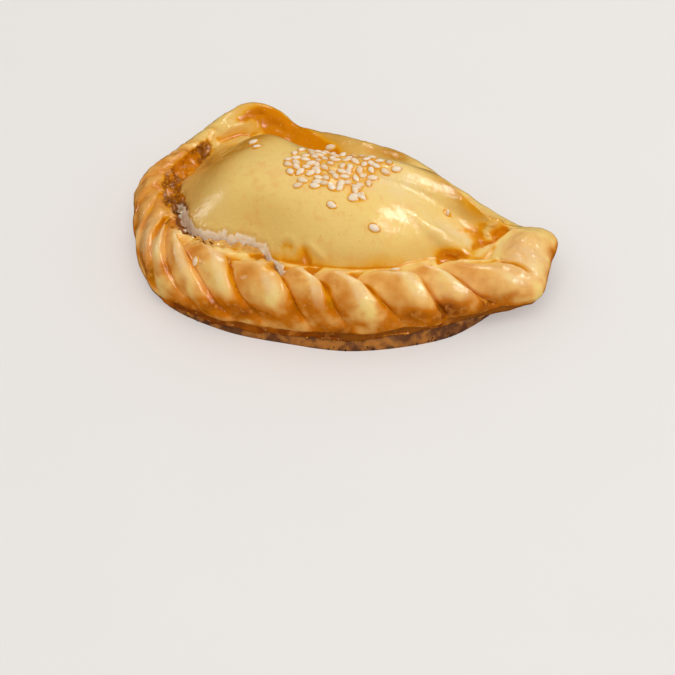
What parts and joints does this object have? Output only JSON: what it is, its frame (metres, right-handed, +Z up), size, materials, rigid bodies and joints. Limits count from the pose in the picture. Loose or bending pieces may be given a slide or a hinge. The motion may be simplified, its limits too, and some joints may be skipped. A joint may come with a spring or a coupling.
{
  "type": "empanada",
  "caption": "Baked half-moon pastry turnover with a roped rim, a raised ear at each end and an egg-glazed golden dome with sesame seeds.",
  "frame": {"origin": "middle of the footprint, at the height of the surface that the base rests on", "axes": "+X from the left ear to the right ear, +Y from the roped rim to the fold side, +Z up"},
  "size_m": [0.1114, 0.0798, 0.0296],
  "materials": {
    "crust": "egg-glazed baked pastry, golden with darker orange grooves and browned spots",
    "sesame": "hulled sesame seeds, cream white with a thin coat of glaze",
    "glaze": "set beads and rings of baked egg glaze, amber brown"
  },
  "bodies": {
    "root": {"pastry": "crust"}
  },
  "joints": []
}
